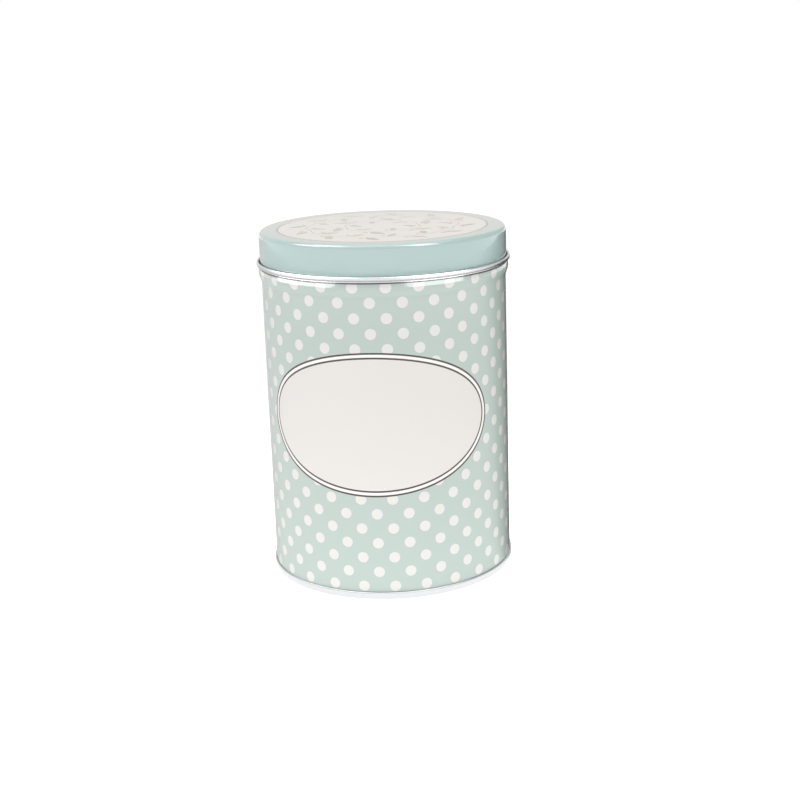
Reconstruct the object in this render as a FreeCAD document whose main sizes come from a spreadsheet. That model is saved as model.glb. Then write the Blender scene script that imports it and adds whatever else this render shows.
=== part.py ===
import FreeCAD, Part
import Sketcher
import math
import os

# A round tea canister of printed tinplate with a lid that lifts off its neck ring.
# Millimetres, +Z up, the floor at zero, the label's side facing -Y and the side seam at +Y.

# Driving dimensions: alias, value, what it measures.
SIZES = [
    ("body_diameter", 108.0, "outside of the printed wall"),
    ("total_height", 153.5, "floor to the flat top of the lid"),
    ("sheet", 0.23, "tinplate thickness of every piece"),
    ("seam_height", 3.25, "double seam round the base, floor to its top"),
    ("seam_gap", 0.05, "air between two layers of the double seam"),
    ("hook_room", 0.35, "space left past the end of each seam hook"),
    ("seam_edge_radius", 0.25, "outer edges of the double seam"),
    ("base_recess", 4.2, "floor to the underside of the base panel"),
    ("panel_edge_radius", 0.25, "inside edge of the base panel"),
    ("lid_shown", 13.0, "height of the lid above the rolled rim"),
    ("lid_edge_radius", 2.0, "outside of the lid's top edge"),
    ("lid_fit", 0.20, "radial clearance of the lid's hem round the neck"),
    ("lid_seat", 0.15, "clearance of the lid's lower edge in the flare"),
    ("lid_hem", 3.0, "height of the hem folded up inside the skirt"),
    ("rim_gap", 0.5, "open slot between the skirt and the rolled rim"),
    ("curl_height", 1.9, "height of the rolled rim"),
    ("curl_hollow", 0.59, "air inside the rolled rim, between its two walls"),
    ("curl_edge_radius", 0.25, "edges of the rolled rim"),
    ("flare_height", 5.5, "height of the flare under the rolled rim"),
    ("neck_fit", 0.05, "radial clearance of the neck ring in the wall"),
    ("neck_depth", 14.0, "reach of the neck ring below the rolled rim"),
    ("neck_headroom", 0.25, "neck ring's top below the lid's rounded edge"),
    ("neck_hem", 3.0, "height of the hem at the neck ring's top"),
    ("neck_edge_radius", 0.2, "outer top edge of the neck ring"),
    ("side_seam_width", 5.0, "folded strip of the side seam, inside the wall"),
    ("side_seam_room", 0.3, "side seam's ends to the base panel and neck ring"),
    ("side_seam_line", 0.4, "width of the joint line on the outside"),
]

FLOOR = "0"
AXIS = "0"
SHEET = "Sizes.sheet"

# Radii of the wall and of the layers of the double seam, from the inside out.
WALL_OUT = "(Sizes.body_diameter / 2)"
WALL_IN = f"({WALL_OUT} - {SHEET})"
CHUCK_OUT = f"({WALL_IN} - Sizes.seam_gap)"
CHUCK_IN = f"({CHUCK_OUT} - {SHEET})"
COVER_HOOK_IN = f"({WALL_OUT} + Sizes.seam_gap)"
COVER_HOOK_OUT = f"({COVER_HOOK_IN} + {SHEET})"
BODY_HOOK_IN = f"({COVER_HOOK_OUT} + Sizes.seam_gap)"
BODY_HOOK_OUT = f"({BODY_HOOK_IN} + {SHEET})"
SEAM_WALL_IN = f"({BODY_HOOK_OUT} + Sizes.seam_gap)"
SEAM_WALL_OUT = f"({SEAM_WALL_IN} + {SHEET})"

# Heights of the folds in the double seam and of the base panel.
BODY_FOLD_LOW = f"({SHEET} + Sizes.seam_gap)"
BODY_FOLD_TOP = f"({BODY_FOLD_LOW} + {SHEET})"
COVER_HOOK_TIP = f"({BODY_FOLD_TOP} + Sizes.hook_room)"
SEAM_FOLD_UNDER = f"(Sizes.seam_height - {SHEET})"
BODY_HOOK_TIP = f"({SEAM_FOLD_UNDER} - Sizes.hook_room)"
PANEL_TOP = f"(Sizes.base_recess + {SHEET})"

# Radii of the neck ring, of the lid that slips over it and of the rim round the lid.
NECK_OUT = f"({WALL_IN} - Sizes.neck_fit)"
NECK_IN = f"({NECK_OUT} - {SHEET})"
NECK_HEM_IN = f"({NECK_IN} - {SHEET})"
LID_HEM_IN = f"({NECK_OUT} + Sizes.lid_fit)"
LID_SKIRT_IN = f"({LID_HEM_IN} + {SHEET})"
LID_OUT = f"({LID_SKIRT_IN} + {SHEET})"
RIM_IN = f"({LID_OUT} + Sizes.rim_gap)"
RIM_OUT = f"({RIM_IN} + {SHEET})"
CURL_TIP = f"({RIM_OUT} + Sizes.seam_gap)"
CURL_IN = f"({RIM_OUT} + Sizes.curl_hollow)"
CURL_OUT = f"({CURL_IN} + {SHEET})"

# Heights of the rim, the flare, the lid and the neck ring.
RIM_TOP = "(Sizes.total_height - Sizes.lid_shown)"
RIM_UNDER = f"({RIM_TOP} - {SHEET})"
CURL_LOW = f"({RIM_TOP} - Sizes.curl_height)"
CURL_FLOOR = f"({CURL_LOW} + {SHEET})"
FLARE_LOW = f"({CURL_LOW} - Sizes.flare_height)"
FLARE_RUN = f"({RIM_IN} - {WALL_IN})"
LID_RUN = f"({LID_OUT} + Sizes.lid_seat - {WALL_IN})"
LID_LOW = f"({FLARE_LOW} + Sizes.flare_height * {LID_RUN} / {FLARE_RUN})"
LID_HEM_TOP = f"({LID_LOW} + Sizes.lid_hem)"
LID_UNDER = f"(Sizes.total_height - {SHEET})"
NECK_TOP = "(Sizes.total_height - Sizes.lid_edge_radius - Sizes.neck_headroom)"
NECK_HEM_LOW = f"({NECK_TOP} - Sizes.neck_hem)"
NECK_LOW = f"({RIM_TOP} - Sizes.neck_depth)"

# The side seam: its fold is three layers deep inside the wall, its joint line half a layer deep outside.
FOLD_IN = f"({WALL_IN} - 3 * {SHEET})"
FOLD_ROOT = f"({WALL_IN} + {SHEET} / 2)"
FOLD_LOW = f"({PANEL_TOP} + Sizes.side_seam_room)"
FOLD_TOP = f"({NECK_LOW} - Sizes.side_seam_room)"
LINE_FLOOR = f"({WALL_OUT} - {SHEET} / 2)"
LINE_LOW = "Sizes.seam_height"

# A bend is drawn as short straight steps round a quarter turn: one on the small edges, more on the lid.
EDGE_STEPS = 1
LID_OUTER_STEPS = 4
LID_INNER_STEPS = 3
INWARD, OUTWARD = "-", "+"
DOWN, UP = "-", "+"


def bend(corner, radius, across, up, steps=EDGE_STEPS):
    """Corners of a quarter round, from the level run to the upright run.

    corner is the point where the two runs would meet, and across and up are the signs of the way
    from it to the centre of the bend.
    """
    corners = []
    for step in range(steps + 1):
        angle = math.pi / 2 * step / steps
        level = f"({corner[0]} {across} {1 - math.sin(angle):.6f} * {radius})"
        height = f"({corner[1]} {up} {1 - math.cos(angle):.6f} * {radius})"
        corners.append((level, height))
    return corners


def upright_first(corners):
    """The same bend taken the other way, from the upright run to the level run."""
    return corners[::-1]


# Profiles as corners (radius, height), each a closed outline turned about the axis.
CURL_EDGE = "Sizes.curl_edge_radius"
SEAM_EDGE = "Sizes.seam_edge_radius"
LID_EDGE = "Sizes.lid_edge_radius"
LID_INNER_EDGE = f"({LID_EDGE} - {SHEET})"

BODY_PROFILE = [
    (BODY_HOOK_OUT, BODY_HOOK_TIP),
    (BODY_HOOK_IN, BODY_HOOK_TIP),
    (BODY_HOOK_IN, BODY_FOLD_TOP),
    (WALL_OUT, BODY_FOLD_TOP),
    (WALL_OUT, FLARE_LOW),
    (RIM_OUT, CURL_LOW),
    (RIM_OUT, RIM_UNDER),
    (CURL_IN, RIM_UNDER),
    (CURL_IN, CURL_FLOOR),
    (CURL_TIP, CURL_FLOOR),
    (CURL_TIP, CURL_LOW),
    *bend((CURL_OUT, CURL_LOW), CURL_EDGE, INWARD, UP),
    *upright_first(bend((CURL_OUT, RIM_TOP), CURL_EDGE, INWARD, DOWN)),
    *bend((RIM_IN, RIM_TOP), CURL_EDGE, OUTWARD, DOWN),
    (RIM_IN, CURL_LOW),
    (WALL_IN, FLARE_LOW),
    (WALL_IN, BODY_FOLD_LOW),
    (BODY_HOOK_OUT, BODY_FOLD_LOW),
]

BASE_PROFILE = [
    (AXIS, "Sizes.base_recess"),
    (CHUCK_IN, "Sizes.base_recess"),
    (CHUCK_IN, FLOOR),
    *bend((SEAM_WALL_OUT, FLOOR), SEAM_EDGE, INWARD, UP),
    *upright_first(bend((SEAM_WALL_OUT, "Sizes.seam_height"), SEAM_EDGE, INWARD, DOWN)),
    (COVER_HOOK_IN, "Sizes.seam_height"),
    (COVER_HOOK_IN, COVER_HOOK_TIP),
    (COVER_HOOK_OUT, COVER_HOOK_TIP),
    (COVER_HOOK_OUT, SEAM_FOLD_UNDER),
    (SEAM_WALL_IN, SEAM_FOLD_UNDER),
    (SEAM_WALL_IN, SHEET),
    (CHUCK_OUT, SHEET),
    *upright_first(bend((CHUCK_OUT, PANEL_TOP), "Sizes.panel_edge_radius", INWARD, DOWN)),
    (AXIS, PANEL_TOP),
]

NECK_PROFILE = [
    (NECK_OUT, NECK_LOW),
    *upright_first(bend((NECK_OUT, NECK_TOP), "Sizes.neck_edge_radius", INWARD, DOWN)),
    (NECK_HEM_IN, NECK_TOP),
    (NECK_HEM_IN, NECK_HEM_LOW),
    (NECK_IN, NECK_HEM_LOW),
    (NECK_IN, NECK_LOW),
]

LID_PROFILE = [
    (AXIS, "Sizes.total_height"),
    *bend((LID_OUT, "Sizes.total_height"), LID_EDGE, INWARD, DOWN, LID_OUTER_STEPS),
    (LID_OUT, LID_LOW),
    (LID_HEM_IN, LID_LOW),
    (LID_HEM_IN, LID_HEM_TOP),
    (LID_SKIRT_IN, LID_HEM_TOP),
    *upright_first(bend((LID_SKIRT_IN, LID_UNDER), LID_INNER_EDGE, INWARD, DOWN, LID_INNER_STEPS)),
    (AXIS, LID_UNDER),
]

RUN_START, RUN_END = 1, 2


def fill_sheet(doc):
    """Put the driving dimensions in the spreadsheet, one row each."""
    sheet = doc.addObject("Spreadsheet::Sheet", "Sizes")
    for row, (alias, value, meaning) in enumerate(SIZES, start=1):
        sheet.set(f"A{row}", alias)
        sheet.set(f"B{row}", str(value))
        sheet.setAlias(f"B{row}", alias)
        sheet.set(f"C{row}", meaning)
    doc.recompute()


def bind(sketch, kind, run, value, name, expression):
    """Dimension the start of a run from the sketch's origin and tie it to the spreadsheet."""
    index = sketch.addConstraint(Sketcher.Constraint(kind, run, RUN_START, value))
    sketch.renameConstraint(index, name)
    sketch.setExpression(f"Constraints.{name}", expression)


def draw_profile(body, name, corners):
    """Sketch a closed outline on the body's XZ plane, every corner tied to the spreadsheet."""
    sketch = body.newObject("Sketcher::SketchObject", name)
    plane = next(item for item in body.Origin.OriginFeatures if item.Role == "XZ_Plane")
    sketch.AttachmentSupport = (plane, [""])
    sketch.MapMode = "FlatFace"
    points = [
        FreeCAD.Vector(sketch.evalExpression(across), sketch.evalExpression(up), 0)
        for across, up in corners
    ]
    following = points[1:] + points[:1]
    sketch.addGeometry([Part.LineSegment(start, end) for start, end in zip(points, following)], False)
    last = len(corners) - 1
    for run, (across, up) in enumerate(corners):
        before = run - 1 if run else last
        sketch.addConstraint(Sketcher.Constraint("Coincident", before, RUN_END, run, RUN_START))
        bind(sketch, "DistanceX", run, points[run].x, f"across_{run}", across)
        bind(sketch, "DistanceY", run, points[run].y, f"up_{run}", up)
    return sketch


def turn(doc, label, corners):
    """Make one piece by turning its profile a full circle about the axis."""
    body = doc.addObject("PartDesign::Body", label)
    body.Label = label
    body.Placement = FreeCAD.Placement()
    sketch = draw_profile(body, f"{label}_profile", corners)
    doc.recompute()
    revolution = body.newObject("PartDesign::Revolution", f"{label}_turned")
    revolution.Profile = sketch
    revolution.ReferenceAxis = (sketch, ["V_Axis"])
    revolution.Angle = 360
    doc.recompute()
    return body


def block(doc, body, kind, name, across, deep, up):
    """Add or cut an upright block given by its low and high sides along X, Y and Z."""
    feature = body.newObject(kind, name)
    sides = (("Length", "x", across), ("Width", "y", deep), ("Height", "z", up))
    for size, letter, (low, high) in sides:
        feature.setExpression(size, f"({high}) - ({low})")
        feature.setExpression(f"Placement.Base.{letter}", low)
    doc.recompute()
    return feature


def add_side_seam(doc, body):
    """Fold of the side seam inside the back of the wall, and its joint line outside."""
    half = "Sizes.side_seam_width / 2"
    plain = body.Shape.Volume
    fold_width = (f"-{half}", half)
    block(doc, body, "PartDesign::AdditiveBox", "side_seam_fold",
          fold_width, (FOLD_IN, FOLD_ROOT), (FOLD_LOW, FOLD_TOP))
    folded = body.Shape.Volume
    line_width = (f"{half} - Sizes.side_seam_line", half)
    block(doc, body, "PartDesign::SubtractiveBox", "side_seam_joint",
          line_width, (LINE_FLOOR, f"{WALL_OUT} + {SHEET}"), (LINE_LOW, FLARE_LOW))
    if not plain < body.Shape.Volume < folded:
        raise RuntimeError("the side seam changed nothing")


def check(doc, pieces):
    """Stop if any object failed or any piece is not one sound solid."""
    for item in doc.Objects:
        if "Invalid" in item.State or "Error" in item.State:
            raise RuntimeError(f"{item.Name} failed: {item.State}")
    for piece in pieces:
        shape = piece.Shape
        if shape.isNull() or not shape.isValid() or len(shape.Solids) != 1:
            raise RuntimeError(f"{piece.Label} is not one valid solid")


def main():
    """Build the canister and write one STEP file for each piece."""
    doc = FreeCAD.newDocument("TeaCaddy")
    fill_sheet(doc)
    body_shell = turn(doc, "body_shell", BODY_PROFILE)
    add_side_seam(doc, body_shell)
    base = turn(doc, "base", BASE_PROFILE)
    neck_ring = turn(doc, "neck_ring", NECK_PROFILE)
    lid = turn(doc, "lid", LID_PROFILE)
    pieces = [body_shell, base, neck_ring, lid]
    doc.recompute()
    check(doc, pieces)
    os.makedirs("parts", exist_ok=True)
    for piece in pieces:
        piece.Shape.exportStep(f"parts/{piece.Label}.step")
        box = piece.Shape.BoundBox
        print(f"{piece.Label}: volume {piece.Shape.Volume:.1f}, z {box.ZMin:.2f} to {box.ZMax:.2f}")


main()
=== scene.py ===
"""Looks of a round tea canister in printed tinplate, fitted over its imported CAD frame.

Sizes are millimetres in the classes below and become metres when a mesh is made. +Z is up, the
floor is at zero, the oval label faces -Y and the side seam is at +Y.
"""
import logging
import math
from dataclasses import dataclass
from enum import Enum
from typing import Any, Callable, Mapping, Sequence

import bpy
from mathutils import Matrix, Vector


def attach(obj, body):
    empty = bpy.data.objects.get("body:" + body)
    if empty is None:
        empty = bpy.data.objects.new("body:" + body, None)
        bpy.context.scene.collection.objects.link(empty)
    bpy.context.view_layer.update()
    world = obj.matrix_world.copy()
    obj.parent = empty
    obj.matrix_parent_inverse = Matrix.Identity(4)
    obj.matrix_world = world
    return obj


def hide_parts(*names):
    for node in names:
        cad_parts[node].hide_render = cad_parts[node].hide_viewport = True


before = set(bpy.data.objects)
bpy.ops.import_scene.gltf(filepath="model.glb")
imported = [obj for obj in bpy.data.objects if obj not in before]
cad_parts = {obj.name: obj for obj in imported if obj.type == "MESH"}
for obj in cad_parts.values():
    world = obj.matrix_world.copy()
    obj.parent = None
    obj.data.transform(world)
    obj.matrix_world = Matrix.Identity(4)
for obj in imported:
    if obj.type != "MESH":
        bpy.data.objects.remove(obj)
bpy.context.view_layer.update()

MM = 0.001
TURN_STEPS = 256
SMOOTH_BELOW = math.radians(32.0)
MERGE_DISTANCE = 1e-6
BEVEL_SEGMENTS = 2
FACING = 0.3  # least share of a face's normal that counts as looking that way

log = logging.getLogger("tea_caddy")

Point = tuple[float, float]
Colour = tuple[float, float, float, float]
Light = tuple[float, float, float]
Stop = tuple[float, Light]


class Rider(Enum):
    """The CAD bodies that the pieces ride on."""

    CANISTER = "canister"
    LID = "lid"


class Slot(Enum):
    """The record's material slots."""

    WALL = "printed_wall"
    TIN = "bare_tinplate"
    LID = "printed_lid"


class Side(Enum):
    """Which finish a face takes: the print, the bright sheet outside or the dull sheet inside."""

    PRINT = "print"
    TIN = "tin"
    INSIDE = "inside"


class Seen(Enum):
    """Which rays see a lamp."""

    ALL = "all"
    GLOSS = "gloss"


class Cut(Enum):
    """How a block meets the sheet it is set into."""

    JOIN = "UNION"
    REMOVE = "DIFFERENCE"


def ink(red: int, green: int, blue: int) -> Colour:
    """A printed colour as linear light.

    Args:
        red, green, blue: display values from 0 to 255.

    Returns:
        The colour that a shader socket takes.
    """
    channels = []
    for value in (red, green, blue):
        part = value / 255.0
        channels.append(part / 12.92 if part <= 0.04045 else ((part + 0.055) / 1.055) ** 2.4)
    return (channels[0], channels[1], channels[2], 1.0)


def grey(level: float, warmth: float = 0.0) -> Light:
    """A neutral light.

    Args:
        level: its brightness.
        warmth: how much redder than blue it is, as a share.

    Returns:
        Linear red, green and blue.
    """
    return (level * (1.0 + warmth / 2.0), level, level * (1.0 - warmth / 2.0))


class Value:
    """A shader value on which Python arithmetic adds Math nodes."""

    def __init__(self, graph: "Graph", socket: bpy.types.NodeSocket) -> None:
        """Wrap a node's output socket."""
        self.graph = graph
        self.socket = socket

    def math(self, operation: str, *others: "Value | float") -> "Value":
        """This value put through a Math node with the others after it."""
        return self.graph.math(operation, self, *others)

    def __add__(self, other: "Value | float") -> "Value":
        """Sum."""
        return self.math("ADD", other)

    __radd__ = __add__

    def __sub__(self, other: "Value | float") -> "Value":
        """Difference."""
        return self.math("SUBTRACT", other)

    def __rsub__(self, other: float) -> "Value":
        """Difference from a number."""
        return self.graph.math("SUBTRACT", other, self)

    def __mul__(self, other: "Value | float") -> "Value":
        """Product."""
        return self.math("MULTIPLY", other)

    __rmul__ = __mul__

    def __truediv__(self, other: "Value | float") -> "Value":
        """Quotient."""
        return self.math("DIVIDE", other)

    def __rtruediv__(self, other: float) -> "Value":
        """Quotient of a number by this value."""
        return self.graph.math("DIVIDE", other, self)

    def __pow__(self, power: float) -> "Value":
        """Power."""
        return self.math("POWER", power)

    def __neg__(self) -> "Value":
        """Opposite."""
        return self.graph.math("SUBTRACT", 0.0, self)

    def __abs__(self) -> "Value":
        """Size without the sign."""
        return self.math("ABSOLUTE")

    def __mod__(self, other: float) -> "Value":
        """Remainder, never negative."""
        return self.math("FLOORED_MODULO", other)


class Graph:
    """A node tree that is filled through one node-making method."""

    MIX_COLOURS = (0, 6, 7, 2)  # a Mix node's factor, its two colour inputs and its colour output

    def __init__(self, tree: bpy.types.NodeTree) -> None:
        """Take over a tree and empty it."""
        self.tree = tree
        tree.nodes.clear()

    def node(
        self,
        kind: str,
        settings: Mapping[str, Any] | None = None,
        links: Mapping[str | int, Any] | None = None,
    ) -> bpy.types.Node:
        """Add a node.

        Args:
            kind: the node's type.
            settings: its properties, set first; stops are a ramp's positions and colours.
            links: a value or a socket for each named or numbered input.

        Returns:
            The new node.
        """
        made = self.tree.nodes.new(kind)
        for name, value in (settings or {}).items():
            if name == "stops":
                self._set_stops(made.color_ramp.elements, value)
            else:
                setattr(made, name, value)
        for name, value in (links or {}).items():
            socket = made.inputs[name]
            source = value.socket if isinstance(value, Value) else value
            if isinstance(source, bpy.types.NodeSocket):
                self.tree.links.new(source, socket)
            else:
                socket.default_value = source
        return made

    @staticmethod
    def _set_stops(elements: Any, stops: Sequence[Stop]) -> None:
        """Give a ramp its stops.

        Args:
            elements: the ramp's own list of stops.
            stops: position and light, from left to right.
        """
        while len(elements) < len(stops):
            elements.new(1.0)
        for element, (position, light) in zip(elements, stops):
            element.position = position
            element.color = (*light, 1.0)

    def math(self, operation: str, *terms: "Value | float", clamp: bool = False) -> Value:
        """A Math node on the given terms, as a value.

        Args:
            operation: the node's operation.
            terms: values or numbers, in the order of its inputs.
            clamp: whether the result is kept between 0 and 1.

        Returns:
            The result.
        """
        settings = {"operation": operation, "use_clamp": clamp}
        return Value(self, self.node("ShaderNodeMath", settings, dict(enumerate(terms))).outputs[0])

    def mix(self, share: Value, low: Any, high: Any) -> bpy.types.NodeSocket:
        """A colour that goes from low to high with the share.

        Args:
            share: 0 for low and 1 for high.
            low, high: colours or colour sockets.

        Returns:
            The mixed colour.
        """
        factor, first, second, result = self.MIX_COLOURS
        made = self.node(
            "ShaderNodeMix", {"data_type": "RGBA"}, {factor: share, first: low, second: high}
        )
        return made.outputs[result]

    def inside(self, distance: Value, soft: float) -> Value:
        """Mask of a shape.

        Args:
            distance: how far a point lies outside the shape, negative inside.
            soft: width of the edge.

        Returns:
            1 inside and 0 outside.
        """
        return self.math("MULTIPLY_ADD", distance, -1.0 / soft, 0.5, clamp=True)

    def length(self, across: Value, up: Value) -> Value:
        """Length of a flat vector."""
        return (across * across + up * up).math("SQRT")

    def place(self) -> tuple[Value, Value, Value]:
        """A point of the piece, in millimetres of its own frame.

        Returns:
            Its three coordinates.
        """
        coordinates = self.node("ShaderNodeTexCoord")
        scaled = self.node(
            "ShaderNodeVectorMath",
            {"operation": "SCALE"},
            {"Vector": coordinates.outputs["Object"], "Scale": 1.0 / MM},
        )
        split = self.node("ShaderNodeSeparateXYZ", links={0: scaled.outputs[0]})
        x, y, z = (Value(self, socket) for socket in split.outputs)
        return x, y, z

    def noise(self, x: Any, y: Any, z: Any, scale: float, detail: float = 2.0) -> Value:
        """Soft noise from 0 to 1 at a point, with so many waves to the unit.

        Args:
            x, y, z: the point.
            scale: waves to the unit.
            detail: how many finer layers it has.

        Returns:
            The noise.
        """
        vector = self.node("ShaderNodeCombineXYZ", links={0: x, 1: y, 2: z})
        made = self.node(
            "ShaderNodeTexNoise",
            {"noise_dimensions": "3D"},
            {"Vector": vector.outputs[0], "Scale": scale, "Detail": detail},
        )
        return Value(self, made.outputs[0])

    def relief(self, height: Value, depth: float) -> bpy.types.NodeSocket:
        """A normal that follows a height map of so many millimetres.

        Args:
            height: the height map, from 0 to 1.
            depth: its full height, in millimetres.

        Returns:
            The normal.
        """
        made = self.node(
            "ShaderNodeBump", links={"Strength": 1.0, "Distance": depth * MM, "Height": height}
        )
        return made.outputs[0]


class Finish:
    """A surface finish that makes its own material."""

    name: str

    def material(self) -> bpy.types.Material:
        """The finish as a Blender material, made once.

        Returns:
            The material.
        """
        known = bpy.data.materials.get(self.name)
        if known is not None:
            return known
        made = bpy.data.materials.new(self.name)
        made.use_nodes = True
        graph = Graph(made.node_tree)
        shader = graph.node("ShaderNodeBsdfPrincipled", links=self.shade(graph))
        graph.node("ShaderNodeOutputMaterial", links={"Surface": shader.outputs[0]})
        return made

    def shade(self, graph: Graph) -> dict[str, Any]:
        """The inputs of the finish's shader."""
        raise NotImplementedError


@dataclass(frozen=True)
class Tinplate(Finish):
    """Bright bare tinplate with faint drawing lines round the axis."""

    name: str = "tin_sheet"
    metal: float = 1.0
    bright: Colour = (0.82, 0.83, 0.84, 1.0)
    dull: Colour = (0.74, 0.75, 0.77, 1.0)
    gloss: float = 0.16
    streak_gloss: float = 0.06
    streaks_per_mm: float = 1.8
    streaks_round: float = 2.0
    streak_detail: float = 3.0
    cloud_scale: float = 0.06
    cloud_gloss: float = 0.03
    relief_mm: float = 0.0015

    def shade(self, graph: Graph) -> dict[str, Any]:
        """Streaks in colour, gloss and relief that run round the axis.

        Args:
            graph: the material's graph.

        Returns:
            The shader's inputs.
        """
        x, y, z = graph.place()
        angle = graph.math("ARCTAN2", x, -y)
        radius = graph.length(x, y)
        fine = self.streaks_per_mm
        streaks = graph.noise(angle * self.streaks_round, z * fine, radius * fine, 1.0, self.streak_detail)
        clouds = graph.noise(x, y, z, self.cloud_scale)
        return {
            "Base Color": graph.mix(streaks * 0.5 + clouds * 0.5, self.dull, self.bright),
            "Metallic": self.metal,
            "Roughness": streaks * self.streak_gloss + clouds * self.cloud_gloss + self.gloss,
            "Normal": graph.relief(streaks, self.relief_mm),
        }


@dataclass(frozen=True)
class InnerTinplate(Tinplate):
    """Tinplate under a thin clear lacquer, as it is inside a canister for food."""

    name: str = "tin_inside"
    metal: float = 0.72
    bright: Colour = (0.88, 0.88, 0.87, 1.0)
    dull: Colour = (0.80, 0.80, 0.79, 1.0)
    gloss: float = 0.18
    streak_gloss: float = 0.12


@dataclass(frozen=True)
class PrintedTin(Finish):
    """Ink on tinplate under a glossy and slightly uneven varnish."""

    mint: Colour = ink(187, 202, 195)
    mint_pale: Colour = ink(192, 206, 200)
    edge: float = 0.12
    gloss: float = 0.15
    coat_gloss: float = 0.05
    grain_scale: float = 1.6
    grain_gloss: float = 0.04
    cloud_scale: float = 0.03
    cloud_gloss: float = 0.08
    ripple_scale: float = 0.55
    relief_mm: float = 0.0025

    def picture(self, graph: Graph, x: Value, y: Value, z: Value, mint: Any) -> bpy.types.NodeSocket:
        """The print's colours on the mint ground."""
        raise NotImplementedError

    def shade(self, graph: Graph) -> dict[str, Any]:
        """The print under its varnish.

        Args:
            graph: the material's graph.

        Returns:
            The shader's inputs.
        """
        x, y, z = graph.place()
        grain = graph.noise(x, y, z, self.grain_scale)
        clouds = graph.noise(x, y, z, self.cloud_scale)
        mint = graph.mix(grain * 0.5 + clouds * 0.5, self.mint, self.mint_pale)
        uneven = clouds * self.cloud_gloss + grain * self.grain_gloss
        return {
            "Base Color": self.picture(graph, x, y, z, mint),
            "Roughness": uneven + self.gloss - self.grain_gloss,
            "Coat Weight": 1.0,
            "Coat Roughness": self.coat_gloss,
            "Normal": graph.relief(graph.noise(x, y, z, self.ripple_scale), self.relief_mm),
        }


@dataclass(frozen=True)
class WallPrint(PrintedTin):
    """Mint print with rows of dots and a bare oval label in a double border."""

    name: str = "dotted_print"
    dot: Colour = ink(230, 228, 224)
    label: Colour = ink(230, 227, 223)
    band: Colour = ink(252, 249, 245)
    line: Colour = ink(84, 74, 67)
    wall_radius: float = 54.0
    dots_round: int = 25
    dot_row: float = 6.497
    dot_row_at: float = 129.49
    dot_column_at: float = 0.2
    dot_radius: float = 2.35
    label_height: float = 77.4
    label_half_width: float = 53.6
    label_half_height: float = 30.93
    line_width: float = 0.78
    line_step: float = 2.0
    # one ink for the painted shade under the rim and for the dark joint line of the side seam
    rim_shade_and_joint: Colour = ink(92, 92, 90)
    # painted shade in the crease where the wall meets the base seam: its ink, and the height it reaches up
    # to
    base_shade: Colour = ink(150, 157, 152)
    base_shade_top: float = 3.36
    rim_shade_bottom: float = 137.45
    seam_at: float = 2.3
    seam_width: float = 0.4

    def _dots(self, graph: Graph, arc: Value, z: Value) -> Value:
        """Mask of the dots: rows of even pitch, each second row moved by half a pitch.

        Args:
            graph: the graph to add to.
            arc, z: the point's place along the wall's round and its height.

        Returns:
            1 on a dot and 0 off it.
        """
        pitch = 2.0 * math.pi * self.wall_radius / self.dots_round
        row = (z - self.dot_row_at) / self.dot_row
        row_number = row.math("ROUND")
        turn = (arc - self.dot_column_at) / pitch + (row_number % 2.0) * 0.5
        across = (turn - turn.math("ROUND")) * pitch
        up = (row - row_number) * self.dot_row
        return graph.inside(graph.length(across, up) - self.dot_radius, self.edge)

    def _label_distance(self, graph: Graph, arc: Value, z: Value) -> Value:
        """How far a point lies outside the label's oval edge.

        Args:
            graph: the graph to add to.
            arc, z: the point's place along the wall's round and its height.

        Returns:
            The distance in millimetres, negative inside.
        """
        across = arc / self.label_half_width
        up = (z - self.label_height) / self.label_half_height
        reach = graph.length(across, up)
        slope = graph.length(across / self.label_half_width, up / self.label_half_height)
        return (reach - 1.0) * reach / slope.math("MAXIMUM", 1e-6)

    def picture(self, graph: Graph, x: Value, y: Value, z: Value, mint: Any) -> bpy.types.NodeSocket:
        """Dots on mint under the label, painted shade in the creases at the wall's foot and under its rim,
        and its dark joint line.

        Args:
            graph: the graph to add to.
            x, y, z: the point.
            mint: the ground's colour.

        Returns:
            The colour.
        """
        arc = graph.math("ARCTAN2", x, -y) * self.wall_radius
        colour = graph.mix(self._dots(graph, arc, z), mint, self.dot)
        outside = self._label_distance(graph, arc, z)
        half = self.line_width / 2.0
        colour = graph.mix(graph.inside(outside - half, self.edge), colour, self.band)
        colour = graph.mix(graph.inside(outside + self.line_step, self.edge), colour, self.label)
        outer_line = graph.inside(abs(outside) - half, self.edge)
        inner_line = graph.inside(abs(outside + self.line_step) - half, self.edge)
        colour = graph.mix(outer_line.math("MAXIMUM", inner_line), colour, self.line)
        # painted shade: a darker strip at the foot of the wall, along the base seam
        low = graph.inside(z - self.base_shade_top, self.edge * 2.0)
        # painted shade: a dark strip under the rim, from this height up to the groove
        high = graph.inside(self.rim_shade_bottom - z, self.edge * 2.0)
        behind = y.math("GREATER_THAN", 0.0)
        seam = graph.inside(abs(x - self.seam_at) - self.seam_width / 2.0, self.edge) * behind
        colour = graph.mix(low, colour, self.base_shade)
        # the painted shade under the rim and the dark joint line take the same ink
        return graph.mix(high.math("MAXIMUM", seam), colour, self.rim_shade_and_joint)


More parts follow.
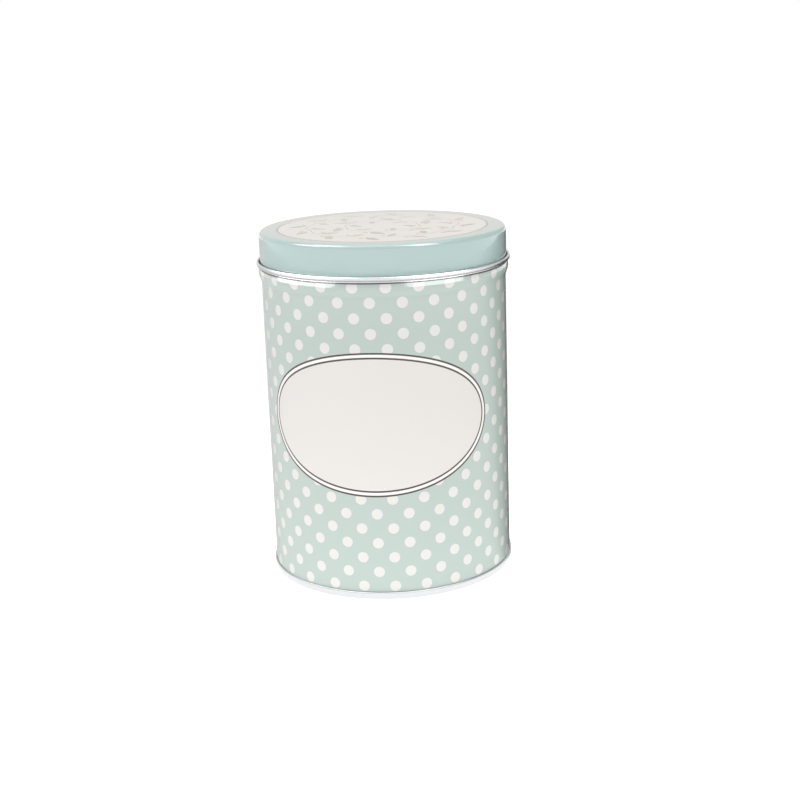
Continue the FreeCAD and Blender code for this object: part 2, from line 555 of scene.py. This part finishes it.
@dataclass(frozen=True)
class LidPrint(PrintedTin):
    """Mint print with a cream panel on top that carries a plain ring of leaves and berries."""

    name: str = "lid_print"
    mint: Colour = ink(178, 203, 199)
    mint_pale: Colour = ink(183, 207, 203)
    panel: Colour = ink(238, 233, 228)
    line: Colour = ink(104, 92, 86)
    leaf_grey: Colour = ink(140, 139, 132)
    leaf_beige: Colour = ink(186, 168, 140)
    berry: Colour = ink(190, 138, 134)
    panel_radius: float = 46.2
    panel_above: float = 153.0
    line_width: float = 0.85
    rings: tuple[tuple[float, int], ...] = ((33.0, 24), (16.5, 12))
    leaf_out: float = 4.6
    leaf_half_length: float = 4.6
    leaf_half_width: float = 1.7
    leaf_tilt: float = 38.0
    leaf_tones: int = 3
    vein_half_width: float = 0.14
    vein_share: float = 0.6
    berry_out: float = 3.2
    berry_radius: float = 1.05
    stem_width: float = 0.45
    stem_wave: float = 0.8
    gloss: float = 0.14

    @staticmethod
    def _sector(turn: Value, width: float) -> tuple[Value, Value, Value]:
        """Split a ring in sectors.

        Args:
            turn: place along the ring, one unit to a sector.
            width: length of a sector along the ring.

        Returns:
            The sector's number, the distance along the ring from its middle, and 1 or -1 by turns.
        """
        number = turn.math("ROUND")
        return number, (turn - number) * width, 1.0 - (number % 2.0) * 2.0

    def _garland(
        self, graph: Graph, angle: Value, radius: Value, ground: Any, ring: tuple[float, int]
    ) -> Any:
        """Leaves on both sides of a waving stem, with berries between them.

        Args:
            graph: the graph to add to.
            angle, radius: the point's place on the lid.
            ground: the colour under the garland.
            ring: radius of the garland and how many leaves it has.

        Returns:
            The colour with the garland over it.
        """
        ring_radius, leaves = ring
        turn = angle * (leaves / (2.0 * math.pi))
        width = 2.0 * math.pi * ring_radius / leaves
        out = radius - ring_radius
        number, along, side = self._sector(turn, width)
        tilt = math.radians(self.leaf_tilt)
        rise = out * side - self.leaf_out
        down_leaf = along * math.sin(tilt) + rise * math.cos(tilt)
        over_leaf = along * math.cos(tilt) - rise * math.sin(tilt)
        taper = 1.0 - (down_leaf / self.leaf_half_length) ** 2.0
        leaf = graph.inside(abs(over_leaf) - taper * self.leaf_half_width, self.edge)
        vein = graph.inside(abs(over_leaf) - self.vein_half_width, self.edge)
        tone = (number % self.leaf_tones) * (1.0 / (self.leaf_tones - 1))
        leaf_ink = graph.mix(tone, self.leaf_grey, self.leaf_beige)
        leaf_ink = graph.mix(vein * self.vein_share, leaf_ink, self.panel)
        wave = (turn * math.pi).math("SINE") * self.stem_wave
        stem = graph.inside(abs(out - wave) - self.stem_width / 2.0, self.edge)
        _, berry_along, berry_side = self._sector(turn + 0.5, width)
        berry_rise = out * berry_side - self.berry_out
        berry = graph.inside(graph.length(berry_along, berry_rise) - self.berry_radius, self.edge)
        colour = graph.mix(stem, ground, self.leaf_grey)
        colour = graph.mix(leaf, colour, leaf_ink)
        return graph.mix(berry, colour, self.berry)

    def picture(self, graph: Graph, x: Value, y: Value, z: Value, mint: Any) -> bpy.types.NodeSocket:
        """Panel, border and garland on the flat top, plain mint on the edge and skirt.

        Args:
            graph: the graph to add to.
            x, y, z: the point.
            mint: the ground's colour.

        Returns:
            The colour.
        """
        angle = graph.math("ARCTAN2", x, -y)
        radius = graph.length(x, y)
        top = z.math("GREATER_THAN", self.panel_above)
        panel: Any = self.panel
        for ring in self.rings:
            panel = self._garland(graph, angle, radius, panel, ring)
        in_panel = graph.inside(radius - self.panel_radius, self.edge) * top
        on_line = graph.inside(abs(radius - self.panel_radius) - self.line_width / 2.0, self.edge) * top
        return graph.mix(on_line, graph.mix(in_panel, mint, panel), self.line)


@dataclass(frozen=True)
class FloorPaint(Finish):
    """Plain pale studio floor that glows like a light table: a painted pool of light round the canister,
    dimmer beyond and growing again further out.
    """

    name: str = "pale_floor"
    light: Colour = (0.93, 0.93, 0.93, 1.0)
    shade_tone: Colour = (0.91, 0.91, 0.91, 1.0)
    matt: float = 0.7
    cloud_scale: float = 0.004
    # painted light: the bright pool near the canister lights the lower wall; the glow is dim just beyond
    # it and grows again further out
    glow: tuple[Stop, ...] = (
        (0.0, grey(0.8)), (0.075, grey(0.8)), (0.14, grey(0.14)), (0.35, grey(0.18)), (1.0, grey(0.4)),
    )
    glow_reach: float = 2000.0

    def shade(self, graph: Graph) -> dict[str, Any]:
        """A barely uneven white with a glow: a bright painted pool of light round the canister, a dim ring
        beyond and more glow further out.

        Args:
            graph: the material's graph.

        Returns:
            The shader's inputs.
        """
        x, y, z = graph.place()
        clouds = graph.noise(x, y, z, self.cloud_scale)
        away = graph.length(x, y) / self.glow_reach
        ramp = graph.node("ShaderNodeValToRGB", {"stops": self.glow}, {0: away})
        return {
            "Base Color": graph.mix(clouds, self.shade_tone, self.light),
            "Roughness": self.matt,
            "Specular IOR Level": 0.0,
            "Emission Color": ramp.outputs[0],
            "Emission Strength": 1.0,
        }


@dataclass(frozen=True)
class CardPaint(Finish):
    """Glowing card that fades out towards its front edge; where it is dark, it is a painted shadow of the
    canister on the floor, seen only in reflections.
    """

    name: str
    turn: float
    side: float
    fade: tuple[Stop, ...]
    pivot: Point = (49.0, -18.0)
    clear: Point = (0.46, 0.6)

    def shade(self, graph: Graph) -> dict[str, Any]:
        """Light by the direction from the wall's edge on this side.

        Args:
            graph: the material's graph.

        Returns:
            The shader's inputs.
        """
        x, y, _ = graph.place()
        cosine, sine = math.cos(math.radians(self.turn)), math.sin(math.radians(self.turn))
        aside = (x * cosine + y * sine) * self.side - self.pivot[0]
        back = y * cosine - x * sine - self.pivot[1]
        place = graph.math("ARCTAN2", aside, -back) / math.pi
        ramp = graph.node("ShaderNodeValToRGB", {"stops": self.fade}, {0: place})
        start, end = self.clear
        return {
            "Alpha": graph.inside((start + end) / 2.0 - place, end - start),
            "Base Color": (0.0, 0.0, 0.0, 1.0),
            "Roughness": 1.0,
            "Specular IOR Level": 0.0,
            "Emission Color": ramp.outputs[0],
            "Emission Strength": 1.0,
        }


@dataclass(frozen=True)
class Corner:
    """A corner of a sheet's outline: radius from the axis, height, and the rounding there."""

    r: float
    z: float
    rounding: float = 0.0
    steps: int = 6


def rounded(before: Corner, corner: Corner, after: Corner) -> list[Point]:
    """Points of one corner of an outline.

    Args:
        before: the corner ahead of it.
        corner: the corner to round.
        after: the corner behind it.

    Returns:
        The corner itself, or points along its rounding.
    """
    if corner.rounding <= 0.0:
        return [(corner.r, corner.z)]
    here = Vector((corner.r, corner.z))
    back = (Vector((before.r, before.z)) - here).normalized()
    ahead = (Vector((after.r, after.z)) - here).normalized()
    half = back.angle(ahead) / 2.0
    reach = corner.rounding / math.tan(half)
    start, end = here + back * reach, here + ahead * reach
    centre = here + (back + ahead).normalized() * (corner.rounding / math.sin(half))
    first = start - centre
    sweep = first.angle_signed(end - centre)
    points = []
    for step in range(corner.steps + 1):
        angle = -sweep * step / corner.steps
        cosine, sine = math.cos(angle), math.sin(angle)
        arm = Vector((first.x * cosine - first.y * sine, first.x * sine + first.y * cosine))
        points.append(tuple(centre + arm))
    return points


def outline(corners: Sequence[Corner], closed: bool) -> list[Point]:
    """Points of a sheet's outline with its corners rounded.

    Args:
        corners: the outline's corners in order.
        closed: whether the last corner joins the first; if not, both ends lie on the axis.

    Returns:
        Points (radius, height) in millimetres; a closed outline ends where it starts.
    """
    points: list[Point] = []
    last = len(corners) - 1
    for index, corner in enumerate(corners):
        if not closed and index in (0, last):
            points.append((corner.r, corner.z))
            continue
        points += rounded(corners[index - 1], corner, corners[(index + 1) % len(corners)])
    return points + points[:1] if closed else points


def turned(name: str, points: Sequence[Point]) -> bpy.types.Object:
    """Draw an outline vertex by vertex and spin it round the axis into a closed sheet.

    Args:
        name: the piece's name.
        points: the outline, in millimetres.

    Returns:
        The piece, with its place in its mesh.
    """
    bpy.ops.object.select_all(action="DESELECT")
    start_r, start_z = points[0]
    bpy.ops.mesh.primitive_plane_add(size=MM, location=(start_r * MM, 0.0, start_z * MM))
    piece = bpy.context.object
    piece.name = piece.data.name = name
    bpy.ops.object.transform_apply(location=True, rotation=True, scale=True)
    bpy.ops.object.mode_set(mode="EDIT")
    bpy.ops.mesh.select_all(action="SELECT")
    bpy.ops.mesh.merge(type="CENTER")
    for (r0, z0), (r1, z1) in zip(points, points[1:]):
        step = ((r1 - r0) * MM, 0.0, (z1 - z0) * MM)
        bpy.ops.mesh.extrude_vertices_move(TRANSFORM_OT_translate={"value": step})
    bpy.ops.mesh.select_all(action="SELECT")
    bpy.ops.mesh.spin(
        steps=TURN_STEPS, angle=2.0 * math.pi, center=(0.0, 0.0, 0.0), axis=(0.0, 0.0, 1.0)
    )
    bpy.ops.mesh.select_all(action="SELECT")
    bpy.ops.mesh.remove_doubles(threshold=MERGE_DISTANCE)
    bpy.ops.mesh.normals_make_consistent(inside=False)
    bpy.ops.object.mode_set(mode="OBJECT")
    return piece


def block(name: str, low: Vector, high: Vector, bevel: float) -> bpy.types.Object:
    """A block with bevelled edges.

    Args:
        name: the block's name.
        low, high: two opposite corners, in millimetres.
        bevel: width of the bevel, or 0.

    Returns:
        The block, with its place in its mesh.
    """
    bpy.ops.object.select_all(action="DESELECT")
    bpy.ops.mesh.primitive_cube_add(size=1.0, location=(low + high) / 2.0 * MM)
    made = bpy.context.object
    made.name = made.data.name = name
    made.scale = (high - low) * MM
    bpy.ops.object.transform_apply(location=True, rotation=True, scale=True)
    if bevel > 0.0:
        bpy.ops.object.mode_set(mode="EDIT")
        bpy.ops.mesh.select_all(action="SELECT")
        bpy.ops.mesh.bevel(offset=bevel * MM, segments=BEVEL_SEGMENTS, affect="EDGES")
        bpy.ops.object.mode_set(mode="OBJECT")
    return made


def activate(piece: bpy.types.Object) -> None:
    """Select a piece alone, for the operators that follow.

    Args:
        piece: the piece.
    """
    bpy.ops.object.select_all(action="DESELECT")
    bpy.context.view_layer.objects.active = piece
    piece.select_set(True)


def combine(piece: bpy.types.Object, tool: bpy.types.Object, cut: Cut) -> None:
    """Join a block to a piece or cut it away, and drop the block.

    Args:
        piece: the piece to change.
        tool: the block.
        cut: which of the two.
    """
    activate(piece)
    modifier = piece.modifiers.new(tool.name, "BOOLEAN")
    modifier.operation = cut.value
    modifier.object = tool
    modifier.solver = "EXACT"
    bpy.ops.object.modifier_apply(modifier=modifier.name)
    bpy.data.objects.remove(tool)


def smooth(piece: bpy.types.Object) -> None:
    """Shade a piece smooth, apart from its sharp edges.

    Args:
        piece: the piece to shade.
    """
    activate(piece)
    bpy.ops.object.shade_smooth_by_angle(angle=SMOOTH_BELOW)


def paint(
    piece: bpy.types.Object,
    finishes: Mapping[Side, Finish],
    choose: Callable[[float, float, Vector], Side],
) -> None:
    """Give each face of a turned piece its finish.

    Args:
        piece: the piece to paint.
        finishes: the finish of each side.
        choose: takes a face's height in millimetres, how far it looks away from the axis, and its
            normal, and returns its side.
    """
    piece.data.materials.clear()
    order = list(finishes)
    for side in order:
        piece.data.materials.append(finishes[side].material())
    for face in piece.data.polygons:
        flat = Vector((face.center.x, face.center.y, 0.0))
        away = face.normal.dot(flat.normalized()) if flat.length > MERGE_DISTANCE else 0.0
        face.material_index = order.index(choose(face.center.z / MM, away, face.normal))


def settle(piece: bpy.types.Object, rider: Rider, node: str, slot: Slot) -> None:
    """Let a finished piece stand for its CAD node and ride with its body.

    Args:
        piece: the finished piece.
        rider: the body that carries it.
        node: the CAD node that it replaces.
        slot: the record's material slot of its finish; not used.
    """
    smooth(piece)
    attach(piece, rider.value)
    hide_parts(node)
    log.info("%s: %d faces, rides on %s", piece.name, len(piece.data.polygons), rider.value)


@dataclass(frozen=True)
class BodyWall:
    """Rolled wall: hook of the base seam, flare, shoulder and rolled rim, and the side seam."""

    outside: float = 54.0
    sheet: float = 0.23
    hook_inside: float = 54.33
    hook_tip: float = 2.67
    fold_low: float = 0.28
    flare_low: float = 131.6
    flare_rounding: float = 6.0
    shoulder: float = 55.3
    shoulder_height: float = 135.3
    shoulder_rounding: float = 4.0
    lip: float = 54.92
    lip_height: float = 137.75
    lip_rounding: float = 0.2
    groove: float = 54.62
    groove_height: float = 138.0
    groove_inside: float = 54.45
    groove_rounding: float = 0.06
    throat_above: float = 0.5
    throat_rounding: float = 0.3
    hook_rounding: float = 0.1
    rim_inside: float = 54.88
    rim_outside: float = 55.93
    rim_low: float = 138.6
    rim_top: float = 140.5
    rim_rounding: float = 0.5
    seam_half_width: float = 2.5
    seam_line: float = 0.4
    seam_line_depth: float = 0.1
    seam_line_past: float = 1.0
    seam_low: float = 3.25
    fold_inside: float = 53.08
    fold_outside: float = 53.885
    fold_ends: Point = (4.73, 126.2)
    fold_bevel: float = 0.12

    @property
    def inside(self) -> float:
        """Radius of the wall's inner face."""
        return self.outside - self.sheet

    def corners(self) -> list[Corner]:
        """Outline of the sheet: up the outside from the hook, over the rim and down the inside.

        Returns:
            The corners in order.
        """
        fold_top = self.fold_low + self.sheet
        hook_outside = self.hook_inside + self.sheet
        inner_shoulder = self.shoulder - self.sheet
        inner_rounding = self.shoulder_rounding - self.sheet
        return [
            Corner(hook_outside, self.hook_tip),
            Corner(self.hook_inside, self.hook_tip),
            Corner(self.hook_inside, fold_top),
            Corner(self.outside, fold_top),
            Corner(self.outside, self.flare_low, self.flare_rounding, steps=8),
            Corner(self.shoulder, self.shoulder_height, self.shoulder_rounding, steps=14),
            Corner(self.lip, self.lip_height, self.lip_rounding, steps=5),
            Corner(self.groove, self.groove_height, self.groove_rounding, steps=3),
            Corner(self.groove, self.rim_low, self.groove_rounding, steps=3),
            Corner(self.rim_outside, self.rim_low, self.rim_rounding, steps=8),
            Corner(self.rim_outside, self.rim_top, self.rim_rounding, steps=8),
            Corner(self.rim_inside, self.rim_top, self.rim_rounding, steps=8),
            Corner(self.rim_inside, self.rim_low + self.throat_above, self.throat_rounding, steps=4),
            Corner(self.groove_inside, self.groove_height, self.throat_rounding, steps=4),
            Corner(inner_shoulder, self.shoulder_height, inner_rounding, steps=8),
            Corner(self.inside, self.flare_low, self.flare_rounding, steps=8),
            Corner(self.inside, self.fold_low, self.hook_rounding, steps=3),
            Corner(hook_outside, self.fold_low, self.hook_rounding, steps=3),
        ]

    def side(self, z: float, away: float, normal: Vector) -> Side:
        """Print on the outside of the wall up to the groove, bare sheet elsewhere.

        Args:
            z: the face's height.
            away: how far it looks away from the axis.
            normal: its normal; not used.

        Returns:
            The face's side.
        """
        if away < -FACING and z < self.rim_low:
            return Side.INSIDE
        printed = away > FACING and self.fold_low + self.sheet < z < self.groove_height
        return Side.PRINT if printed else Side.TIN

    def add_side_seam(self, piece: bpy.types.Object) -> None:
        """Fold of the side seam inside the back of the wall, and its joint line outside.

        Args:
            piece: the wall.
        """
        half = self.seam_half_width
        low, high = self.fold_ends
        fold = block(
            "side_seam_fold",
            Vector((-half, self.fold_inside, low)),
            Vector((half, self.fold_outside, high)),
            self.fold_bevel,
        )
        combine(piece, fold, Cut.JOIN)
        line = block(
            "side_seam_line",
            Vector((half - self.seam_line, self.outside - self.seam_line_depth, self.seam_low)),
            Vector((half, self.outside + self.seam_line_past, self.flare_low)),
            bevel=0.0,
        )
        combine(piece, line, Cut.REMOVE)

    def build(self) -> None:
        """Make the wall, dress it and let it ride."""
        piece = turned("canister_wall", outline(self.corners(), closed=True))
        self.add_side_seam(piece)
        finishes = {Side.PRINT: WallPrint(), Side.TIN: Tinplate(), Side.INSIDE: InnerTinplate()}
        paint(piece, finishes, self.side)
        settle(piece, Rider.CANISTER, "body_shell", Slot.WALL)


@dataclass(frozen=True)
class BaseEnd:
    """Bottom end: recessed panel, wall of the seam and the hook inside the double seam."""

    sheet: float = 0.23
    panel_low: float = 4.2
    chuck_inside: float = 53.49
    seam_outside: float = 54.84
    seam_height: float = 3.25
    hook_inside: float = 54.05
    hook_tip: float = 0.86
    seam_rounding: float = 0.45
    least_rounding: float = 0.05
    foot_rounding: float = 0.2
    fold_rounding: float = 0.1
    panel_rounding: float = 0.7

    def corners(self) -> list[Corner]:
        """Outline from the axis under the panel, round the seam and back over the panel.

        Returns:
            The corners in order.
        """
        outer = self.seam_rounding
        inner = max(outer - self.sheet, self.least_rounding)
        wall_in = self.seam_outside - self.sheet
        chuck_out = self.chuck_inside + self.sheet
        hook_out = self.hook_inside + self.sheet
        panel_top = self.panel_low + self.sheet
        under_fold = self.seam_height - self.sheet
        return [
            Corner(0.0, self.panel_low),
            Corner(self.chuck_inside, self.panel_low, self.panel_rounding - self.sheet, steps=5),
            Corner(self.chuck_inside, 0.0, self.foot_rounding, steps=4),
            Corner(self.seam_outside, 0.0, outer, steps=8),
            Corner(self.seam_outside, self.seam_height, outer, steps=8),
            Corner(self.hook_inside, self.seam_height, self.foot_rounding, steps=5),
            Corner(self.hook_inside, self.hook_tip),
            Corner(hook_out, self.hook_tip),
            Corner(hook_out, under_fold, self.fold_rounding, steps=3),
            Corner(wall_in, under_fold, inner, steps=5),
            Corner(wall_in, self.sheet, inner, steps=5),
            Corner(chuck_out, self.sheet, self.fold_rounding, steps=3),
            Corner(chuck_out, panel_top, self.panel_rounding),
            Corner(0.0, panel_top),
        ]

    def side(self, z: float, away: float, normal: Vector) -> Side:
        """Lacquer on the panel's upper face."""
        return Side.INSIDE if normal.z > FACING and z > self.panel_low else Side.TIN

    def build(self) -> None:
        """Make the bottom end, dress it and let it ride."""
        piece = turned("base_end", outline(self.corners(), closed=False))
        paint(piece, {Side.TIN: Tinplate(), Side.INSIDE: InnerTinplate()}, self.side)
        settle(piece, Rider.CANISTER, "base", Slot.TIN)


@dataclass(frozen=True)
class NeckCollar:
    """Collar that stands up inside the mouth, hemmed inwards at its top."""

    outside: float = 53.72
    sheet: float = 0.23
    low: float = 126.5
    top: float = 151.25
    hem_low: float = 148.25
    hem_rounding: float = 0.22

    def corners(self) -> list[Corner]:
        """Outline up the outside, over the hem and down the inside.

        Returns:
            The corners in order.
        """
        inside = self.outside - self.sheet
        hem_inside = inside - self.sheet
        return [
            Corner(self.outside, self.low),
            Corner(self.outside, self.top, self.hem_rounding),
            Corner(hem_inside, self.top, self.hem_rounding),
            Corner(hem_inside, self.hem_low),
            Corner(inside, self.hem_low),
            Corner(inside, self.low),
        ]

    def side(self, z: float, away: float, normal: Vector) -> Side:
        """Lacquer on the faces that look at the axis."""
        return Side.INSIDE if away < -FACING else Side.TIN

    def build(self) -> None:
        """Make the collar, dress it and let it ride."""
        piece = turned("neck_collar", outline(self.corners(), closed=True))
        paint(piece, {Side.TIN: Tinplate(), Side.INSIDE: InnerTinplate()}, self.side)
        settle(piece, Rider.CANISTER, "neck_ring", Slot.TIN)


@dataclass(frozen=True)
class LidCap:
    """Drawn lid: flat top, rounded edge and a skirt with a hem inside."""

    outside: float = 54.38
    sheet: float = 0.23
    top: float = 153.5
    low: float = 136.866
    hem_top: float = 139.866
    hem_rounding: float = 0.22
    edge_rounding: float = 2.0

    def corners(self) -> list[Corner]:
        """Outline from the axis over the top, down the skirt, round the hem and back inside.

        Returns:
            The corners in order.
        """
        skirt_in = self.outside - self.sheet
        hem_in = skirt_in - self.sheet
        under = self.top - self.sheet
        return [
            Corner(0.0, self.top),
            Corner(self.outside, self.top, self.edge_rounding, steps=14),
            Corner(self.outside, self.low, self.hem_rounding),
            Corner(hem_in, self.low, self.hem_rounding),
            Corner(hem_in, self.hem_top),
            Corner(skirt_in, self.hem_top),
            Corner(skirt_in, under, self.edge_rounding - self.sheet, steps=10),
            Corner(0.0, under),
        ]

    def side(self, z: float, away: float, normal: Vector) -> Side:
        """Print on the top, the edge and the outside of the skirt."""
        over = normal.z > FACING and z > self.hem_top
        return Side.PRINT if over or away > FACING else Side.INSIDE

    def build(self) -> None:
        """Make the lid, dress it and let it ride."""
        piece = turned("lid_cap", outline(self.corners(), closed=False))
        paint(piece, {Side.PRINT: LidPrint(), Side.INSIDE: InnerTinplate()}, self.side)
        settle(piece, Rider.LID, "lid", Slot.LID)


@dataclass(frozen=True)
class Softbox:
    """A soft rectangular lamp aimed at the canister, which may light one piece only."""

    name: str
    azimuth: float
    elevation: float
    distance: float
    width: float
    height: float
    radiance: float
    seen: Seen = Seen.ALL
    only: str = ""

    def build(self, aim: Vector) -> None:
        """Place the lamp.

        Args:
            aim: the point it faces, in metres.
        """
        around, above = math.radians(self.azimuth), math.radians(self.elevation)
        away = Vector((
            math.sin(around) * math.cos(above),
            -math.cos(around) * math.cos(above),
            math.sin(above),
        ))
        data = bpy.data.lights.new(self.name, "AREA")
        data.shape = "RECTANGLE"
        data.size = self.width
        data.size_y = self.height
        data.energy = self.radiance * math.pi * self.width * self.height
        lamp = bpy.data.objects.new(self.name, data)
        lamp.location = aim + away * self.distance
        lamp.rotation_euler = away.to_track_quat("Z", "Y").to_euler()
        lamp.visible_diffuse = self.seen is not Seen.GLOSS
        lamp.visible_camera = False
        bpy.context.scene.collection.objects.link(lamp)
        if self.only:
            lit = bpy.data.collections.new(self.name + "_lights")
            lit.objects.link(bpy.data.objects[self.only])
            lamp.light_linking.receiver_collection = lit


@dataclass(frozen=True)
class Studio:
    """Floor, light and camera."""

    floor_size: float = 12.0
    floor_cuts: int = 4
    aim: Point = (0.0, 0.085)
    camera_at: tuple[float, float, float] = (76.252, -611.675, 240.791)
    camera_turn: tuple[float, float, float] = (76.4036, 1.388, 4.2174)
    lens: float = 63.1728
    sensor: float = 36.0
    clip: Point = (0.01, 100.0)
    shift: Point = (-0.06, -0.05)
    view_azimuth: float = 7.1
    white: float = 1.0
    surround: tuple[Stop, ...] = (
        (0.0, grey(0.75, 0.08)), (0.06, grey(0.75, 0.08)), (0.12, grey(0.76)), (0.25, grey(0.76)),
        (0.5, grey(0.71)), (0.76, grey(0.59)), (0.92, grey(0.48)),
        (0.96, grey(0.75, 0.08)), (1.0, grey(0.75, 0.08)),
    )
    softboxes: tuple[Softbox, ...] = (
        Softbox("softbox_left", -71.0, 28.0, 1.1, 1.5, 1.27, 4.5, Seen.GLOSS, "canister_wall"),
        Softbox("softbox_right", 54.0, 28.0, 1.1, 1.2, 1.27, 4.5, Seen.GLOSS, "canister_wall"),
        Softbox("lid_softbox_left", -78.0, 52.0, 1.1, 0.54, 0.75, 4.8, Seen.GLOSS, "lid_cap"),
        Softbox("lid_softbox_right", 52.0, 52.0, 1.1, 0.43, 0.75, 5.4, Seen.GLOSS, "lid_cap"),
        Softbox("seam_glow", 0.0, -90.0, 0.0847, 0.6, 0.6, 0.5, Seen.GLOSS, "base_end"),
        Softbox("softbox_above", 0.0, 88.0, 2.4, 2.8, 2.8, 1.2),
    )
    card_from: Point = (55.5, -100.0)
    card_to: Point = (900.0, 1100.0)
    card_height: float = 0.2
    ring_card: Point = (55.2, 1500.0)
    ring_card_height: float = 0.1
    ring_card_glow: tuple[Stop, ...] = (
        (0.0, grey(0.62)), (0.36, grey(0.62)), (0.46, grey(1.1)), (1.0, grey(1.1)),
    )
    # painted shadow: the dark part of this fade stands in for the canister's shadow on the floor, seen in
    # the wall's reflections
    shadow_card_fade: tuple[Stop, ...] = (
        (0.0, grey(0.62)), (0.5, grey(0.62)), (0.62, grey(0.4)), (0.7, grey(0.08)),
        (0.95, grey(0.06)), (1.0, grey(0.6)),
    )
    fade_left: tuple[Stop, ...] = (
        (0.0, grey(0.62)), (0.5, grey(0.68)), (0.65, grey(0.65)), (1.0, grey(0.6)),
    )

    def floor(self) -> None:
        """A plain pale floor under the canister."""
        bpy.ops.object.select_all(action="DESELECT")
        bpy.ops.mesh.primitive_plane_add(size=self.floor_size, location=(0.0, 0.0, 0.0))
        made = bpy.context.object
        made.name = made.data.name = "studio_floor"
        bpy.ops.object.mode_set(mode="EDIT")
        bpy.ops.mesh.subdivide(number_cuts=self.floor_cuts)
        bpy.ops.object.mode_set(mode="OBJECT")
        made.data.materials.append(FloorPaint().material())

    def card(self, name: str, side: float, fade: tuple[Stop, ...]) -> None:
        """A card on the floor behind the canister, which only reflections see.

        Args:
            name: the card's name.
            side: 1 on the camera's right and -1 on its left.
            fade: its light by direction, from the camera's side to straight behind.
        """
        right = (self.card_from[0] + self.card_to[0]) / 2.0 * side
        back = (self.card_from[1] + self.card_to[1]) / 2.0
        turn = math.radians(self.view_azimuth)
        place = (
            right * math.cos(turn) - back * math.sin(turn),
            right * math.sin(turn) + back * math.cos(turn),
            self.card_height,
        )
        bpy.ops.object.select_all(action="DESELECT")
        bpy.ops.mesh.primitive_plane_add(
            size=MM, location=Vector(place) * MM, rotation=(0.0, 0.0, turn)
        )
        made = bpy.context.object
        made.name = made.data.name = name
        made.scale = (
            self.card_to[0] - self.card_from[0], self.card_to[1] - self.card_from[1], 1.0
        )
        bpy.ops.object.transform_apply(location=True, rotation=True, scale=True)
        made.data.materials.append(CardPaint(name, self.view_azimuth, side, fade).material())
        self._for_reflections(made)

    @staticmethod
    def _for_reflections(made: bpy.types.Object) -> None:
        """Keep a stage piece out of everything but reflections.

        Args:
            made: the piece.
        """
        made.visible_camera = made.visible_diffuse = False
        made.visible_transmission = made.visible_shadow = False

    def floor_card(self) -> None:
        """A white ring on the floor for reflections, brightest far out where the rim mirrors it."""
        inner, outer = self.ring_card
        made = turned("card_floor", [(inner, self.ring_card_height), (outer, self.ring_card_height)])
        black = (0.0, 0.0, 0.0, 1.0)
        white = FloorPaint("card_floor", black, black, glow=self.ring_card_glow, glow_reach=outer)
        made.data.materials.append(white.material())
        self._for_reflections(made)

    def light(self) -> None:
        """A white room that is dark behind on the right, and the soft lamps."""
        world = bpy.data.worlds.new("studio_room")
        bpy.context.scene.world = world
        world.use_nodes = True
        graph = Graph(world.node_tree)
        coordinates = graph.node("ShaderNodeTexCoord")
        split = graph.node("ShaderNodeSeparateXYZ", links={0: coordinates.outputs["Generated"]})
        x, y, _ = (Value(graph, socket) for socket in split.outputs)
        around = graph.math("ARCTAN2", x, -y) / (2.0 * math.pi)
        place = (around - self.view_azimuth / 360.0 + 0.5).math("FRACT")
        ramp = graph.node("ShaderNodeValToRGB", {"stops": self.surround}, {0: place})
        room = graph.node("ShaderNodeBackground", links={"Color": ramp.outputs[0]})
        backdrop = graph.node(
            "ShaderNodeBackground", links={"Color": (1.0, 1.0, 1.0, 1.0), "Strength": self.white}
        )
        path = graph.node("ShaderNodeLightPath")
        shown = graph.node(
            "ShaderNodeMixShader",
            links={0: path.outputs["Is Camera Ray"], 1: room.outputs[0], 2: backdrop.outputs[0]},
        )
        graph.node("ShaderNodeOutputWorld", links={"Surface": shown.outputs[0]})
        aim = Vector((self.aim[0], 0.0, self.aim[1]))
        for softbox in self.softboxes:
            softbox.build(aim)

    def camera(self) -> None:
        """The camera at the photograph's viewing angle."""
        data = bpy.data.cameras.new("view_camera")
        data.sensor_width = self.sensor
        data.lens = self.lens
        data.shift_x, data.shift_y = self.shift
        data.clip_start, data.clip_end = self.clip
        camera = bpy.data.objects.new("view_camera", data)
        camera.location = Vector(self.camera_at) * MM
        camera.rotation_euler = tuple(math.radians(angle) for angle in self.camera_turn)
        bpy.context.scene.collection.objects.link(camera)
        bpy.context.scene.camera = camera

    def build(self) -> None:
        """Set the stage and show true colours."""
        self.floor()
        # the right card's dark part is a painted shadow of the canister, seen only in reflections
        self.card("shadow_card_right", 1.0, self.shadow_card_fade)
        self.card("card_left", -1.0, self.fade_left)
        self.floor_card()
        self.light()
        self.camera()
        settings = bpy.context.scene.view_settings
        settings.view_transform = "Standard"
        settings.look = "None"


def main() -> None:
    """Build the canister's pieces in order and set the stage round them."""
    logging.basicConfig(level=logging.INFO, format="%(name)s: %(message)s")
    for part in (BodyWall(), BaseEnd(), NeckCollar(), LidCap()):
        part.build()
    Studio().build()


if __name__ == "__main__":
    main()
